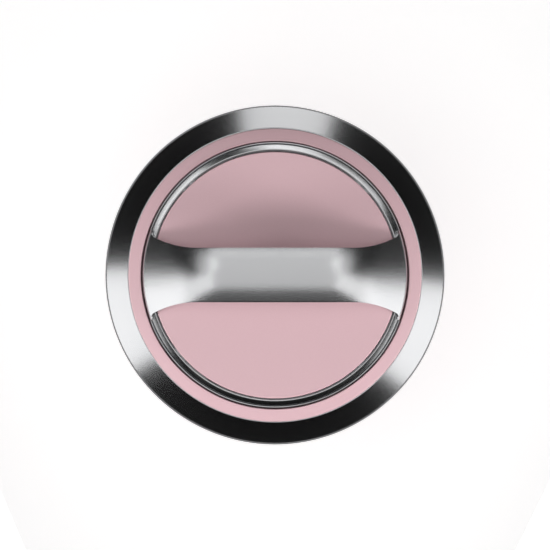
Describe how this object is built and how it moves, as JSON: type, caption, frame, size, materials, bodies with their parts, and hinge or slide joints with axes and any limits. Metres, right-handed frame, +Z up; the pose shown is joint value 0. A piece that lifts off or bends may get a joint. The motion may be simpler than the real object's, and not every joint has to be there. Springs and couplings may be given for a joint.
{
  "type": "ice cream maker",
  "caption": "Hand-turned ice cream maker: insulated round housing, steel collar, lift-out freezing bowl, lid with gear case, bridge handle turning a paddle and a scraper.",
  "frame": {"origin": "on the floor, under the middle of the housing", "axes": "+Z up along the handle's turning axis; the handle's bar lies along X at rest"},
  "size_m": [0.2, 0.2, 0.181],
  "materials": {
    "satin_steel": "satin",
    "bowl_steel": "drawn, semi-bright",
    "screw_steel": "zinc plated",
    "pink_enamel": "satin powder coat",
    "white_plastic": "moulded, satin",
    "gear_acetal": "moulded",
    "seal_rubber": "matte",
    "foam": "open cell foam",
    "gel": "gel"
  },
  "bodies": {
    "housing": {"rubber_feet": "seal_rubber", "base_plate": "white_plastic", "base_screws": "screw_steel", "base_trim": "satin_steel", "body_shell": "pink_enamel", "insulation": "foam", "inner_liner": "white_plastic", "collar_seal": "seal_rubber", "collar_ring": "satin_steel"},
    "bowl": {"bowl_outer_wall": "bowl_steel", "freezing_gel": "gel", "bowl_inner_wall": "bowl_steel", "bowl_rim_cap": "white_plastic", "bowl_plug": "white_plastic"},
    "lid": {"lid_cover": "pink_enamel", "lid_seal": "seal_rubber", "gear_housing": "white_plastic", "idler_pins": "bowl_steel", "lid_screws": "screw_steel", "retaining_ring": "white_plastic", "retainer_screws": "screw_steel", "shaft_bush": "gear_acetal", "glide_ring": "gear_acetal"},
    "handle": {"turn_handle": "satin_steel", "hub_ring": "satin_steel", "hub_disc": "pink_enamel", "hub_plate": "bowl_steel", "drive_shaft": "bowl_steel", "sun_gear": "gear_acetal", "hub_screws": "screw_steel", "shaft_screw": "screw_steel", "stirring_paddle": "white_plastic", "paddle_pin": "bowl_steel"},
    "idler_1": {"idler_gear_1": "gear_acetal"},
    "idler_2": {"idler_gear_2": "gear_acetal"},
    "idler_3": {"idler_gear_3": "gear_acetal"},
    "scraper": {"ring_gear": "gear_acetal", "scraper_frame": "white_plastic", "scraper_blade_left": "gear_acetal", "scraper_blade_right": "gear_acetal", "frame_bush": "gear_acetal", "frame_screws": "screw_steel"}
  },
  "joints": [
    {"name": "bowl_lift", "type": "slide", "parent": "housing", "child": "bowl", "axis": [0, 0, 1], "range_m": [0, 0.135]},
    {"name": "lid_lift", "type": "slide", "parent": "bowl", "child": "lid", "axis": [0, 0, 1], "range_m": [0, 0.115]},
    {"name": "handle_turn", "type": "hinge", "parent": "lid", "child": "handle", "pos_m": [0, 0, 0.15], "axis": [0, 0, 1], "continuous": true},
    {"name": "idler_1_turn", "type": "hinge", "parent": "lid", "child": "idler_1", "pos_m": [0.027, 0, 0.1366], "axis": [0, 0, 1], "continuous": true},
    {"name": "idler_2_turn", "type": "hinge", "parent": "lid", "child": "idler_2", "pos_m": [-0.0135, 0.02338, 0.1366], "axis": [0, 0, 1], "continuous": true},
    {"name": "idler_3_turn", "type": "hinge", "parent": "lid", "child": "idler_3", "pos_m": [-0.0135, -0.02338, 0.1366], "axis": [0, 0, 1], "continuous": true},
    {"name": "scraper_turn", "type": "hinge", "parent": "lid", "child": "scraper", "pos_m": [0, 0, 0.128], "axis": [0, 0, 1], "continuous": true}
  ],
  "couplings": [
    {"joint": "idler_1_turn", "follows": "handle_turn", "ratio": -1},
    {"joint": "idler_2_turn", "follows": "handle_turn", "ratio": -1},
    {"joint": "idler_3_turn", "follows": "handle_turn", "ratio": -1},
    {"joint": "scraper_turn", "follows": "handle_turn", "ratio": -0.33333}
  ]
}
